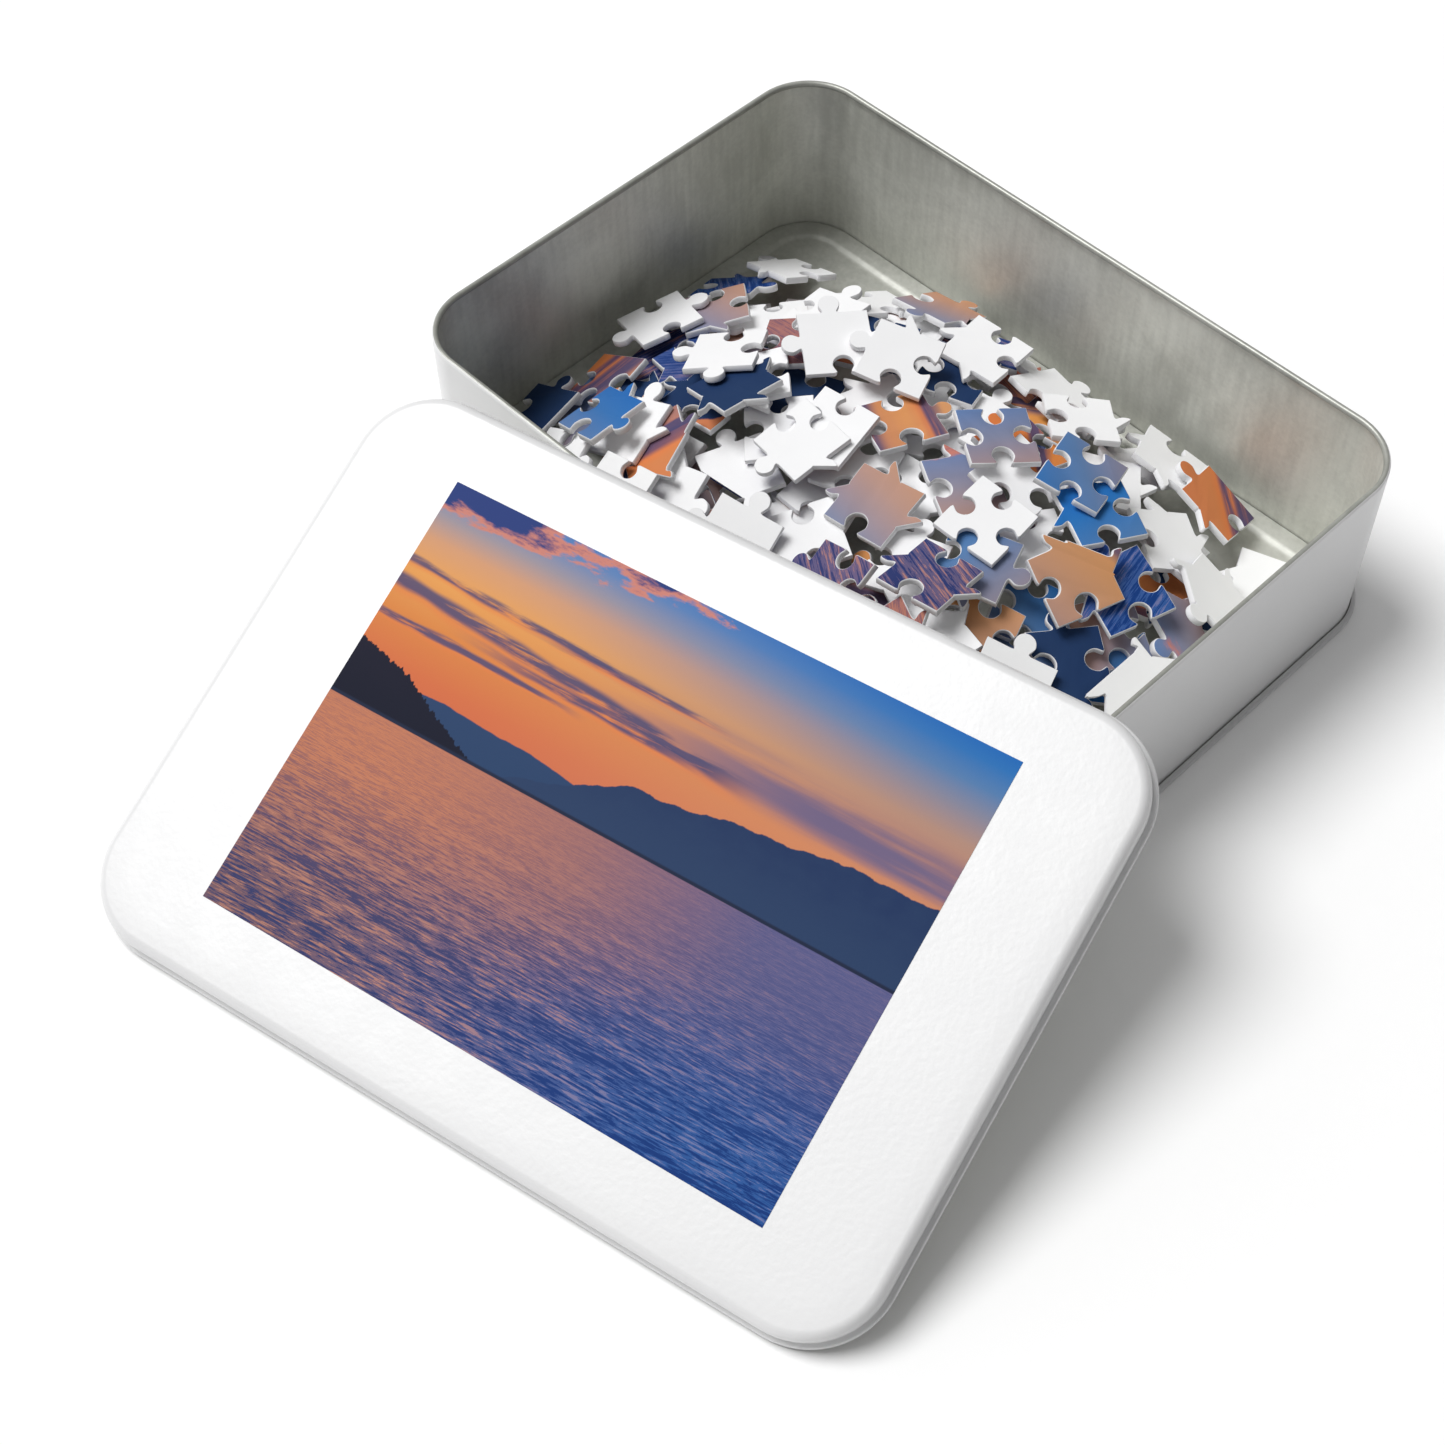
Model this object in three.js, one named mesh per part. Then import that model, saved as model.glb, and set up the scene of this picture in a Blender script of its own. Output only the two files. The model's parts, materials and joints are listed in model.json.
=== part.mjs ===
// Boxed jigsaw puzzle: an open tin full of loose cardboard pieces, with its lid leaning on one side.
// Millimetres, +Z up. The tin stands with its middle over (0, 0); the whole set is centred at the end.
import * as THREE from 'three';

// ---- Tin ----
const TIN_LENGTH = 200;      // outer length of the wall, along X
const TIN_WIDTH = 141.2;     // outer width of the wall, along Y
const TIN_HEIGHT = 51.6;
const TIN_CORNER = 17;       // outer corner radius
const SHEET = 0.6;           // sheet thickness
const CURL = 0.85;           // radius of the inward-rolled rim
const FLOOR_TOP = 1.4;       // top of the floor panel

// ---- Lid ----
const LID_CLEARANCE = 2.2;   // the lid is this much bigger than the tin all round
const LID_DEPTH = 7.2;       // top face to the bottom of the hem
const LID_YAW = 12.9;        // degrees, turned against the tin
const LID_TILT = 21.95;      // degrees, leaning on the tin's rim
const LID_X = 34.3;          // middle of the lid's top face
const LID_Y = -129.1;
const PICTURE_LENGTH = 147.8;
const PICTURE_WIDTH = 110.3;
const PICTURE_SHEET = 0.2;

// ---- Puzzle ----
const PITCH = 17.8;          // corner to corner of one piece
const CARD = 1.8;            // thickness of the cardboard
const PIECE_COUNT = 55;
const GAP = 0.35;            // air between pieces that lie on each other
const MAX_SLOPE = 0.5;       // steepest a piece may lie, as rise over run
const HEAP_LENGTH = 94;      // half-axes and height of the buried part of the heap
const HEAP_WIDTH = 63;
const HEAP_HEIGHT = 21;
const HEAP_TAPER = 0.2;      // how much narrower it is at the far wall
const HEAP_TOP = 45;         // no piece stands higher than this, so the heap stays under the rim
const HEAP_X = 1;
const HEAP_Y = 4;
const BARE_LEFT = 50;        // the heap leaves the two far corners of the floor bare
const BARE_RIGHT = 34;
const SEED = 11;

const CORNER_STEPS = 6;      // straight edges in each rounded corner

function seededRandom(seed) {
  let state = seed >>> 0;
  return () => {
    state = (state + 0x6d2b79f5) >>> 0;
    let t = Math.imul(state ^ (state >>> 15), 1 | state);
    t = (t + Math.imul(t ^ (t >>> 7), 61 | t)) ^ t;
    return ((t ^ (t >>> 14)) >>> 0) / 4294967296;
  };
}
const random = seededRandom(SEED);
const between = (low, high) => low + (high - low) * random();

// ---- Sheet-metal shells: rings of a rounded rectangle joined into one skin ----

function ring(length, width, radius, offset, z) {
  const r = Math.max(radius + offset, 0.5);
  const x = length / 2 + offset - r;
  const y = width / 2 + offset - r;
  const points = [];
  [[x, y], [-x, y], [-x, -y], [x, -y]].forEach(([cx, cy], corner) => {
    for (let i = 0; i <= CORNER_STEPS; i++) {
      const a = (corner + i / CORNER_STEPS) * Math.PI / 2;
      points.push(new THREE.Vector3(cx + r * Math.cos(a), cy + r * Math.sin(a), z));
    }
  });
  return points;
}

// Rings run from the middle of the top, outwards, down the outside and back in underneath.
// An open skin is capped at both ends; a looped one joins its last ring to its first.
function skin(rings, looped = false) {
  const count = rings[0].length;
  const vertices = rings.flat();
  const index = [];
  const last = looped ? rings.length : rings.length - 1;
  for (let i = 0; i < last; i++) {
    const upper = i * count;
    const lower = ((i + 1) % rings.length) * count;
    for (let k = 0; k < count; k++) {
      const n = (k + 1) % count;
      index.push(upper + k, lower + k, upper + n, upper + n, lower + k, lower + n);
    }
  }
  if (!looped) {
    for (const [start, turn] of [[0, 1], [(rings.length - 1) * count, -1]]) {
      const middle = new THREE.Vector3();
      for (let k = 0; k < count; k++) middle.addScaledVector(vertices[start + k], 1 / count);
      vertices.push(middle);
      for (let k = 0; k < count; k++) {
        const n = (k + 1) % count;
        const edge = turn > 0 ? [start + k, start + n] : [start + n, start + k];
        index.push(vertices.length - 1, ...edge);
      }
    }
  }
  return geometryFrom(vertices, index);
}

function geometryFrom(vertices, index) {
  const geometry = new THREE.BufferGeometry().setFromPoints(vertices);
  geometry.setIndex(index);
  geometry.computeVertexNormals();
  return geometry;
}

// Points of an arc as [offset, z] pairs, angles in degrees from the outward direction.
function arc(offset, z, radius, from, to, steps) {
  return Array.from({ length: steps + 1 }, (_, i) => {
    const a = THREE.MathUtils.degToRad(from + (to - from) * i / steps);
    return [offset + radius * Math.cos(a), z + radius * Math.sin(a)];
  });
}

// ---- Jigsaw piece outlines ----

// One side from (0, 0) to (1, 0): a neck with small fillets and a round head on the +Y side.
function tabSide(along, size) {
  const head = 0.148 * size;
  const middle = 0.13 * size;
  const side = [[0, 0], [along - 0.172, -0.005], [along - 0.12 * size, 0.002]];
  for (let i = 0; i <= 6; i++) {
    const a = THREE.MathUtils.degToRad(227 - i * 274 / 6);
    side.push([along + head * Math.cos(a), middle + head * Math.sin(a)]);
  }
  side.push([along + 0.12 * size, 0.002], [along + 0.172, -0.005]);
  return side;
}

// kinds: one entry per side, +1 tab, -1 blank, 0 straight border. No two pieces have quite the same corners.
function pieceOutline(kinds) {
  const corners = [[-0.5, -0.5], [0.5, -0.5], [0.5, 0.5], [-0.5, 0.5]].map(
    ([x, y]) => [x + between(-0.025, 0.025), y + between(-0.025, 0.025)]);
  const outline = [];
  kinds.forEach((kind, i) => {
    const [ax, ay] = corners[i];
    const [bx, by] = corners[(i + 1) % 4];
    const [dx, dy] = [bx - ax, by - ay];
    const side = kind === 0 ? [[0, 0]] : tabSide(between(0.46, 0.54), between(0.93, 1.07));
    for (const [u, v] of side) {
      const out = -v * kind;                     // outwards is to the right of the direction of travel
      outline.push(new THREE.Vector2(
        (ax + dx * u - dy * out) * PITCH, (ay + dy * u + dx * out) * PITCH));
    }
  });
  return outline;
}

function cardGeometry(outline) {
  const count = outline.length;
  const vertices = [0, CARD].flatMap((z) => outline.map((p) => new THREE.Vector3(p.x, p.y, z)));
  const index = [];
  for (const [a, b, c] of THREE.ShapeUtils.triangulateShape(outline, [])) {
    index.push(a, c, b, count + a, count + b, count + c);
  }
  for (let k = 0; k < count; k++) {
    const n = (k + 1) % count;
    index.push(k, n, count + k, n, count + n, count + k);
  }
  return geometryFrom(vertices, index);
}

// ---- The heap: each piece is laid on whatever is under it ----

const CELL = 1;
const COLUMNS = Math.round(TIN_LENGTH / CELL);
const ROWS = Math.round(TIN_WIDTH / CELL);
const surface = new Float64Array(COLUMNS * ROWS);
const cellX = (i) => (i + 0.5) * CELL - TIN_LENGTH / 2;
const cellY = (j) => (j + 0.5) * CELL - TIN_WIDTH / 2;

// The buried heap is a dome: s runs from 0 at its middle to 1 at its foot.
const domeHeight = (s) => (s < 1 ? HEAP_HEIGHT * (1 - s ** 2.6) ** 0.62 : 0);

function buriedHeight(x, y) {
  const v = (y - HEAP_Y) / HEAP_WIDTH;
  const u = (x - HEAP_X) / (HEAP_LENGTH * (1 - HEAP_TAPER * v));
  return domeHeight((Math.abs(u) ** 2.4 + Math.abs(v) ** 2.4) ** (1 / 2.4));
}

for (let j = 0; j < ROWS; j++) {
  for (let i = 0; i < COLUMNS; i++) {
    surface[j * COLUMNS + i] = 2.2 + buriedHeight(cellX(i), cellY(j));
  }
}

function insideOutline(outline, x, y) {
  let inside = false;
  outline.forEach((a, k) => {
    const b = outline[(k + 1) % outline.length];
    if ((a.y > y) !== (b.y > y) && x < a.x + (b.x - a.x) * (y - a.y) / (b.y - a.y)) inside = !inside;
  });
  return inside;
}

function nearOutline(outline, x, y, reach) {
  return outline.some((a, k) => {
    const b = outline[(k + 1) % outline.length];
    const [dx, dy] = [b.x - a.x, b.y - a.y];
    const t = THREE.MathUtils.clamp(((x - a.x) * dx + (y - a.y) * dy) / (dx * dx + dy * dy), 0, 1);
    return Math.hypot(x - a.x - t * dx, y - a.y - t * dy) < reach;
  });
}

// The cells under a turned outline, with a small margin for its thickness when it tilts.
function footprint(outline, x, y, spin) {
  const turned = outline.map((p) => p.clone().rotateAround(new THREE.Vector2(), spin)
    .add(new THREE.Vector2(x, y)));
  const xs = turned.map((p) => p.x);
  const ys = turned.map((p) => p.y);
  const cells = [];
  for (let j = 0; j < ROWS; j++) {
    if (cellY(j) < Math.min(...ys) - 2 || cellY(j) > Math.max(...ys) + 2) continue;
    for (let i = 0; i < COLUMNS; i++) {
      const [px, py] = [cellX(i), cellY(j)];
      if (px < Math.min(...xs) - 2 || px > Math.max(...xs) + 2) continue;
      if (insideOutline(turned, px, py) || nearOutline(turned, px, py, 1.2)) {
        cells.push({ at: j * COLUMNS + i, dx: px - x, dy: py - y });
      }
    }
  }
  return { cells, turned };
}

// The lowest point of a function with one minimum between low and high.
function minimise(f, low, high) {
  for (let i = 0; i < 22; i++) {
    const third = (high - low) / 3;
    if (f(low + third) < f(high - third)) high -= third; else low += third;
  }
  return (low + high) / 2;
}

// A resting piece settles on the plane that lets its middle sink lowest.
function restingPlane(cells) {
  const height = (a, b) => cells.reduce(
    (top, c) => Math.max(top, surface[c.at] - a * c.dx - b * c.dy), -Infinity);
  const bestB = (a) => minimise((b) => height(a, b), -MAX_SLOPE, MAX_SLOPE);
  const a = minimise((s) => height(s, bestB(s)), -MAX_SLOPE, MAX_SLOPE);
  const b = bestB(a);
  return { a, b, z: height(a, b) };
}

function insideTin(points) {
  const wall = ring(TIN_LENGTH, TIN_WIDTH, TIN_CORNER, -3, 0).map((p) => new THREE.Vector2(p.x, p.y));
  return points.every((p) => insideOutline(wall, p.x, p.y));
}

function onHeap({ x, y }) {
  const toFarWall = TIN_WIDTH / 2 - y;
  return TIN_LENGTH / 2 + x + toFarWall > BARE_LEFT && TIN_LENGTH / 2 - x + toFarWall > BARE_RIGHT;
}

function heapPieces() {
  const placed = [];
  while (placed.length < PIECE_COUNT) {
    const kinds = Array.from({ length: 4 }, () => (random() < 0.5 ? 1 : -1));
    if (random() < 0.12) kinds[0] = 0;
    const outline = pieceOutline(kinds);
    let best = null;
    for (let attempt = 0; attempt < 14; attempt++) {
      const spot = { x: between(-90, 90), y: between(-44, 61), spin: between(0, 2 * Math.PI) };
      if (!onHeap(spot)) continue;
      const { turned } = footprint(outline, spot.x, spot.y, spot.spin);
      if (!insideTin(turned)) continue;
      spot.room = Math.min(60, ...placed.map((p) => Math.hypot(p.x - spot.x, p.y - spot.y)));
      spot.room -= 5 * Math.hypot(spot.x / 90, spot.y / 62);   // the middle fills up more
      if (!best || spot.room > best.room) best = spot;
    }
    if (!best) continue;
    const { cells } = footprint(outline, best.x, best.y, best.spin);
    const plane = restingPlane(cells);
    const up = new THREE.Vector3(-plane.a, -plane.b, 1).normalize();
    if (cells.some((c) => plane.z + plane.a * c.dx + plane.b * c.dy > HEAP_TOP - 2 * CARD)) continue;
    for (const c of cells) {
      surface[c.at] = plane.z + GAP + plane.a * c.dx + plane.b * c.dy + CARD / up.z;
    }
    const under = new Set(cells.map((c) => c.at));
    for (const p of placed) p.covered ||= p.cells.some((at) => under.has(at));
    placed.push({ ...best, z: plane.z + GAP, up, outline, cells: [...under], covered: false });
  }
  return placed;
}

// ---- Materials ----

const finish = (name, color, roughness, metalness) =>
  new THREE.MeshStandardMaterial({ name, color, roughness, metalness });
const WHITE_TIN = finish('white_enamel', 0xf1f1f2, 0.35, 0.1);
const BARE_TIN = finish('bare_tinplate', 0xa9aaab, 0.38, 0.9);
const PICTURE = finish('lake_picture', 0xc98a63, 0.45, 0);
const CARD_COLOURS = {
  white: 0xf4f4f5, navy: 0x1b3a66, sky: 0x3d6fb5, sunset: 0xd58a55, dusk: 0x9a8194, ripple: 0x5f6f9f,
};

// ---- Assembly ----

const set = new THREE.Group();
set.name = 'boxed_jigsaw_puzzle';
function add(parent, name, geometry, material) {
  const mesh = new THREE.Mesh(geometry, material.clone());
  mesh.name = name;
  parent.add(mesh);
  return mesh;
}

const tinRings = (profile) =>
  profile.map(([offset, z]) => ring(TIN_LENGTH, TIN_WIDTH, TIN_CORNER, offset, z));
const curlZ = TIN_HEIGHT - CURL;
const wallProfile = [
  ...arc(-CURL, curlZ, CURL, 90, 0, 3),
  [0, 1.4], [-SHEET, 1.4],
  ...arc(-CURL, curlZ, CURL, 287, 120, 5),
];
add(set, 'tin_wall', skin(tinRings(wallProfile), true), WHITE_TIN);

// The floor panel is sunk a little, and its edge is a seam bead that grips the foot of the wall.
const baseProfile = [
  [-8, FLOOR_TOP], [-7, 1.5], [-6, 2.05], [-5.2, 2.2], [-0.9, 2.2], [-0.9, 1.1], [0.3, 1.1], [0.3, 2.7],
  ...arc(0.3, 1.4, 1.2, 90, 0, 4).slice(1), [1.3, 0.6], [0.9, 0.1], [0.5, 0], [-1.3, 0],
  [-1.8, 0.4], [-1.9, 1.5], [-5.1, 1.5], [-6.2, 0.9], [-8, 0.8],
];
add(set, 'tin_base', skin(tinRings(baseProfile)), WHITE_TIN);

// The buried part of the heap, one closed mound standing just clear of the floor.
const power = (value) => Math.sign(value) * Math.abs(value) ** (2 / 2.4);
const moundRing = (s, z) => Array.from({ length: 28 }, (_, k) => {
  const a = k / 28 * 2 * Math.PI;
  const [u, v] = [s * power(Math.cos(a)), s * power(Math.sin(a))];
  return new THREE.Vector3(
    HEAP_X + u * HEAP_LENGTH * (1 - HEAP_TAPER * v), HEAP_Y + v * HEAP_WIDTH, z);
});
const moundSteps = [0.12, 0.35, 0.55, 0.72, 0.84, 0.92, 0.97];
const moundRings = moundSteps.map((s) => moundRing(s, 2.2 + domeHeight(s)));
moundRings.push(moundRing(0.97, 2.5));
add(set, 'buried_pieces', skin(moundRings), finish('card', CARD_COLOURS.white, 0.8, 0));

// ---- Puzzle pieces, numbered from the bottom of the heap up ----

const PRINTS = ['navy', 'sunset', 'ripple', 'dusk', 'sky', 'ripple', 'sunset', 'navy', 'dusk'];
let printed = 0;
heapPieces().forEach((piece, i) => {
  const colour = i % 2 === 0 ? 'white' : PRINTS[printed++ % PRINTS.length];
  const name = `puzzle_piece_${String(i + 1).padStart(2, '0')}`;
  const mesh = add(set, name, cardGeometry(piece.outline), finish('card', CARD_COLOURS[colour], 0.75, 0));
  mesh.position.set(piece.x, piece.y, piece.z);
  mesh.quaternion.setFromUnitVectors(new THREE.Vector3(0, 0, 1), piece.up);
  mesh.quaternion.multiply(new THREE.Quaternion().setFromAxisAngle(new THREE.Vector3(0, 0, 1), piece.spin));
  mesh.userData = { covered: piece.covered, colour };
});

// ---- Lid: drawn cap with a rounded edge, a rolled groove and an outward hem ----

const lidLength = TIN_LENGTH + 2 * LID_CLEARANCE;
const lidWidth = TIN_WIDTH + 2 * LID_CLEARANCE;
const lidProfile = [
  [-8, 0], ...arc(-2.4, -2.4, 2.4, 90, 0, 5), [0, -4.1], [-0.35, -4.4], [-0.35, -5.2], [0.4, -5.5],
  [0.95, -5.8], [1.2, -6.3], [1.0, -6.9], [0.5, -LID_DEPTH], [-0.4, -LID_DEPTH],
  [-0.95, -6.7], [-0.95, -2.8], [-1.5, -1.3], [-2.8, -SHEET], [-8, -SHEET],
];
const lid = new THREE.Group();
add(lid, 'lid_shell', skin(lidProfile.map(([offset, z]) =>
  ring(lidLength, lidWidth, TIN_CORNER + LID_CLEARANCE, offset, z))), WHITE_TIN);
add(lid, 'lid_picture', new THREE.BoxGeometry(PICTURE_LENGTH, PICTURE_WIDTH, PICTURE_SHEET), PICTURE)
  .position.z = 0.1 + PICTURE_SHEET / 2;

const tilt = THREE.MathUtils.degToRad(LID_TILT);
const lowest = Math.max(...lidProfile.map(([offset, z]) =>
  Math.sin(tilt) * (lidWidth / 2 + offset) - Math.cos(tilt) * z));
lid.position.set(LID_X, LID_Y, lowest + 0.02);
lid.rotation.order = 'ZXY';
lid.rotation.set(tilt, 0, THREE.MathUtils.degToRad(LID_YAW));
lid.updateMatrixWorld(true);
for (const mesh of [...lid.children]) {
  mesh.applyMatrix4(lid.matrixWorld);
  set.add(mesh);
}

// ---- Stand the whole set on z = 0 with its box centred over the origin ----

set.updateMatrixWorld(true);
const box = new THREE.Box3().setFromObject(set, true);
const centre = box.getCenter(new THREE.Vector3());
for (const mesh of set.children) {
  mesh.position.x -= centre.x;
  mesh.position.y -= centre.y;
  mesh.position.z -= box.min.z;
}
set.updateMatrixWorld(true);

export default set;
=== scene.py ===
"""Boxed jigsaw puzzle: the looks of an open tin of loose pieces with its printed lid leaning on it."""
import json
import math
import random

import bmesh
import bpy
import mathutils.geometry
import numpy as np
from mathutils import Matrix, Vector


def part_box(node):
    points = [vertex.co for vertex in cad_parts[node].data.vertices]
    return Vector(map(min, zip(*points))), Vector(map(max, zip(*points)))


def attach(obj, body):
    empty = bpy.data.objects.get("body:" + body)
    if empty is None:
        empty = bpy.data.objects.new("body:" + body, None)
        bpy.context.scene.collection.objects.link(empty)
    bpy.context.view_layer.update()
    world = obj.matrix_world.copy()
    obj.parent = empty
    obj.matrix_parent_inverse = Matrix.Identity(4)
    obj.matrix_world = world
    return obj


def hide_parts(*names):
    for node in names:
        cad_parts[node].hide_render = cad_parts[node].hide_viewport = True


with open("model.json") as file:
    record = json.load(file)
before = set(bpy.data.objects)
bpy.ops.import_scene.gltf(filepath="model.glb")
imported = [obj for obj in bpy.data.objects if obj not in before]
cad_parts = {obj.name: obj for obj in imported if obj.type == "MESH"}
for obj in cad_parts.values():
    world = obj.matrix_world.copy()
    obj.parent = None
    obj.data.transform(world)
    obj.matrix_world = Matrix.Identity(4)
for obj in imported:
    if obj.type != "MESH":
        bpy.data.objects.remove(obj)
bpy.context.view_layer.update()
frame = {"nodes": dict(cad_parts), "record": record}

MM = 0.001
SLOT_OF = {part["node"]: part["material_slot"] for part in frame["record"]["subparts"]}

# ---- Driving dimensions ----
TIN_CORNER = 17 * MM        # outer corner radius
SHEET = 0.6 * MM            # sheet thickness
CURL = 0.85 * MM            # radius of the tin's rolled rim
LID_CLEARANCE = 2.2 * MM    # the lid is this much bigger than the tin all round
CORNER_STEPS = 28           # straight edges in each rounded corner
CARD = 1.8 * MM             # thickness of the puzzle pieces' cardboard
PUZZLE_SIZE = (0.36, 0.27)  # the finished puzzle, which its pieces are cut from
HEAP_LENGTH = 94 * MM       # half-axes and height of the buried heap, and its middle from the tin's
HEAP_WIDTH = 63 * MM
HEAP_HEIGHT = 21 * MM
HEAP_X = 1 * MM
HEAP_Y = 4 * MM
HEAP_TAPER = 0.2            # how much narrower it is at the far wall
HEAP_CORNERS = 2.4          # its foot, where 2 is an ellipse and more is squarer
HEAP_SIDES = (2.6, 0.62)    # its section, where 1 and 1 is a cone and 2 and 0.5 an ellipsoid
HEAP_SWELL = 3.5 * MM       # how far pieces in its gaps may stand above the buried heap
HEAP_REACH = 1.08           # how far those spread, where its foot is 1
HEAP_COVER = 9 * MM         # how deep the pieces above the buried heap are to be
HEAP_LIMIT = 40 * MM        # no piece laid on the heap stands higher
BARE_LEFT = 54 * MM         # the two far corners of the tin's floor stay bare
BARE_RIGHT = 40 * MM
WALL_MARGIN = 2.5 * MM      # the pieces laid on it keep this far from the walls
GAP_TRIES = 1500            # how often a piece is tried in a gap, and on top
TOP_TRIES = 300
SEED = 5

TIN_LOW, TIN_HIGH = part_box("tin_wall")
TIN_SIZE = TIN_HIGH - TIN_LOW
TIN_MIDDLE = Vector(((TIN_LOW.x + TIN_HIGH.x) / 2, (TIN_LOW.y + TIN_HIGH.y) / 2, 0))
TIN_RIM = TIN_HIGH.z

# ---- Camera ----
CAMERA_FROM_TIN = Vector((0.2632, -0.3051, 0.4653))   # from the middle of the tin's foot
CAMERA_HEADING = 137.07     # degrees from +X, the way the camera looks
CAMERA_DIP = 53.785         # degrees below the horizon
CAMERA_ROLL = -1.5
SENSOR = 36                 # mm
LENS = 59.6                 # mm


def place_camera():
    data = bpy.data.cameras.new("camera")
    data.lens, data.sensor_width = LENS, SENSOR
    data.clip_start, data.clip_end = 0.01, 20
    camera = bpy.data.objects.new("camera", data)
    bpy.context.scene.collection.objects.link(camera)
    heading, dip, roll = (math.radians(a) for a in (CAMERA_HEADING, CAMERA_DIP, CAMERA_ROLL))
    forward = Vector((math.cos(heading) * math.cos(dip), math.sin(heading) * math.cos(dip),
                      -math.sin(dip)))
    level = Vector((math.sin(heading), -math.cos(heading), 0))
    upright = level.cross(forward)
    right = level * math.cos(roll) + upright * math.sin(roll)
    up = upright * math.cos(roll) - level * math.sin(roll)
    turn = Matrix((right, up, -forward)).transposed().to_4x4()
    camera.matrix_world = Matrix.Translation(TIN_MIDDLE + CAMERA_FROM_TIN) @ turn
    bpy.context.scene.camera = camera


# ---- Node-building helpers ----

def linear(r, g, b):
    """An sRGB colour of 0 to 255 as Blender's linear RGBA."""
    def channel(c):
        c /= 255
        return c / 12.92 if c <= 0.04045 else ((c + 0.055) / 1.055) ** 2.4
    return (channel(r), channel(g), channel(b), 1)


class Shader:
    """Builds a material's nodes from short expressions."""

    def __init__(self, name, roughness=0.5, metallic=0.0, coat=0.0):
        self.material = bpy.data.materials.new(name)
        self.material.use_nodes = True
        self.tree = self.material.node_tree
        self.bsdf = self.tree.nodes["Principled BSDF"]
        self.bsdf.inputs["Roughness"].default_value = roughness
        self.bsdf.inputs["Metallic"].default_value = metallic
        self.bsdf.inputs["Coat Weight"].default_value = coat
        self.bsdf.inputs["Coat Roughness"].default_value = 0.25

    def put(self, socket, value):
        if isinstance(value, bpy.types.NodeSocket):
            self.tree.links.new(value, socket)
        else:
            socket.default_value = value

    def node(self, kind, **inputs):
        node = self.tree.nodes.new(kind)
        for name, value in inputs.items():
            self.put(node.inputs[name.replace("_", " ")], value)
        return node

    def math(self, operation, *values):
        node = self.tree.nodes.new("ShaderNodeMath")
        node.operation = operation
        for socket, value in zip(node.inputs, values):
            self.put(socket, value)
        return node.outputs[0]

    def add(self, *values):
        total = values[0]
        for value in values[1:]:
            total = self.math("ADD", total, value)
        return total

    def times(self, a, b):
        return self.math("MULTIPLY", a, b)

    def fade(self, value, low, high):
        """0 below low, 1 above high, smooth between."""
        node = self.tree.nodes.new("ShaderNodeMapRange")
        node.interpolation_type = "SMOOTHSTEP"
        for name, v in (("Value", value), ("From Min", low), ("From Max", high)):
            self.put(node.inputs[name], v)
        return node.outputs[0]

    def vector(self, x, y, z=0.0):
        return self.node("ShaderNodeCombineXYZ", X=x, Y=y, Z=z).outputs[0]

    def noise(self, vector, scale=1.0, detail=2.0, roughness=0.5, distortion=0.0):
        return self.node("ShaderNodeTexNoise", Vector=vector, Scale=scale, Detail=detail,
                         Roughness=roughness, Distortion=distortion).outputs["Fac"]

    def mix(self, factor, a, b):
        node = self.tree.nodes.new("ShaderNodeMix")
        node.data_type = "RGBA"
        node.clamp_factor = True
        for socket, value in ((node.inputs[0], factor), (node.inputs[6], a), (node.inputs[7], b)):
            self.put(socket, value)
        return node.outputs[2]

    def ramp(self, value, stops):
        node = self.tree.nodes.new("ShaderNodeValToRGB")
        self.put(node.inputs[0], value)
        elements = node.color_ramp.elements
        while len(elements) < len(stops):
            elements.new(0.5)
        for element, (position, colour) in zip(elements, stops):
            element.position, element.color = position, colour
        return node.outputs[0]

    def position(self):
        """Where the point is on the object, in metres."""
        return self.tree.nodes.new("ShaderNodeTexCoord").outputs["Object"]

    def colour(self, value):
        self.put(self.bsdf.inputs["Base Color"], value)

    def bump(self, height, distance, strength=1.0):
        node = self.node("ShaderNodeBump", Height=height, Distance=distance, Strength=strength)
        self.put(self.bsdf.inputs["Normal"], node.outputs[0])


# ---- Materials ----

def enamel():
    """White enamel on tinplate: satin, with a faint pebble like orange peel."""
    s = Shader("white_enamel", roughness=0.32, coat=0.15)
    place = s.position()
    tone = s.noise(place, scale=35, detail=3)
    s.colour(s.mix(tone, linear(226, 226, 227), linear(231, 231, 231)))
    s.put(s.bsdf.inputs["Roughness"], s.add(0.26, s.times(s.noise(place, scale=120, detail=3), 0.14)))
    s.bump(s.noise(place, scale=720, detail=2, roughness=0.45), 0.00012, 0.32)
    return s.material


def tinplate(name, painted_brightness, roughness):
    """Bare tinplate: dull grey with cloudy mottling and very fine rolling marks down the sheet."""
    s = Shader(name, metallic=0.3)
    place = s.position()
    cloud = s.noise(place, scale=26, detail=4, roughness=0.55, distortion=0.8)
    speck = s.noise(place, scale=900, detail=2)
    drawn = s.node("ShaderNodeMapping", Vector=place, Scale=(1, 1, 0.12)).outputs[0]
    marks = s.noise(drawn, scale=420, detail=3)
    tone = s.add(s.times(cloud, 0.6), s.times(speck, 0.15), s.times(marks, 0.25))
    # the brightness factor scales both greys: painted light or painted shade, so each copy of this one
    # tinplate looks lit or shaded
    dark, light = (linear(*[c * painted_brightness for c in grey]) for grey in ((160, 161, 154), (190, 191, 184)))
    s.colour(s.mix(s.fade(tone, 0.32, 0.68), dark, light))
    s.put(s.bsdf.inputs["Roughness"], s.add(roughness, s.times(cloud, 0.2)))
    s.bump(s.add(s.times(speck, 0.4), s.times(marks, 0.6)), 0.00004, 0.5)
    return s.material


def card(name, colour):
    """Plain cardboard: matt, with a trace of fibre."""
    s = Shader(name, roughness=0.78)
    place = s.position()
    darker = linear(*[c * 0.975 for c in colour])
    s.colour(s.mix(s.noise(place, scale=90, detail=2), darker, linear(*colour)))
    s.bump(s.noise(place, scale=1400, detail=3, roughness=0.6), 0.00005, 0.5)
    return s.material


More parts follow.
